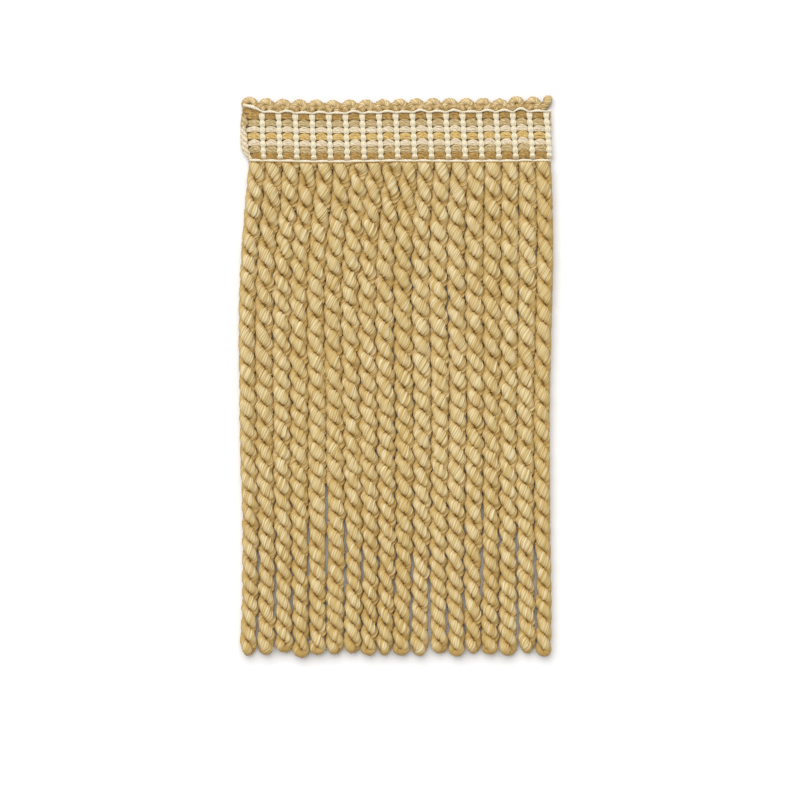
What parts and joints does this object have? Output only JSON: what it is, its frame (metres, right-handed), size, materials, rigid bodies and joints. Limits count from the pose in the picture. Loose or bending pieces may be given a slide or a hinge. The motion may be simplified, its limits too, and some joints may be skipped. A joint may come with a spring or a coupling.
{
  "type": "bullion fringe trim",
  "caption": "Cut length of bullion fringe: a ribbed woven heading with a scalloped picot edge and a deep skirt of twisted rope loops, lying flat.",
  "frame": {"origin": "centre of the heading's flat back, on the surface that the trim lies on", "axes": "+X along the heading, +Y from the skirt's feet up to the scallops, +Z out of the trim's face"},
  "size_m": [0.1009, 0.1801, 0.0052],
  "materials": {
    "heading": "warp-striped woven braid in cream, gold and brown yarn",
    "gimp": "tan gimp cord wrapped in fine yarn",
    "thread": "cream sewing thread",
    "rope": "straw-gold twisted yarn, soft and matt"
  },
  "bodies": {
    "root": {"heading_braid": "heading", "picot_cord": "gimp", "top_thread": "thread", "foot_thread": "thread", "bullion_skirt": "rope"}
  },
  "joints": []
}
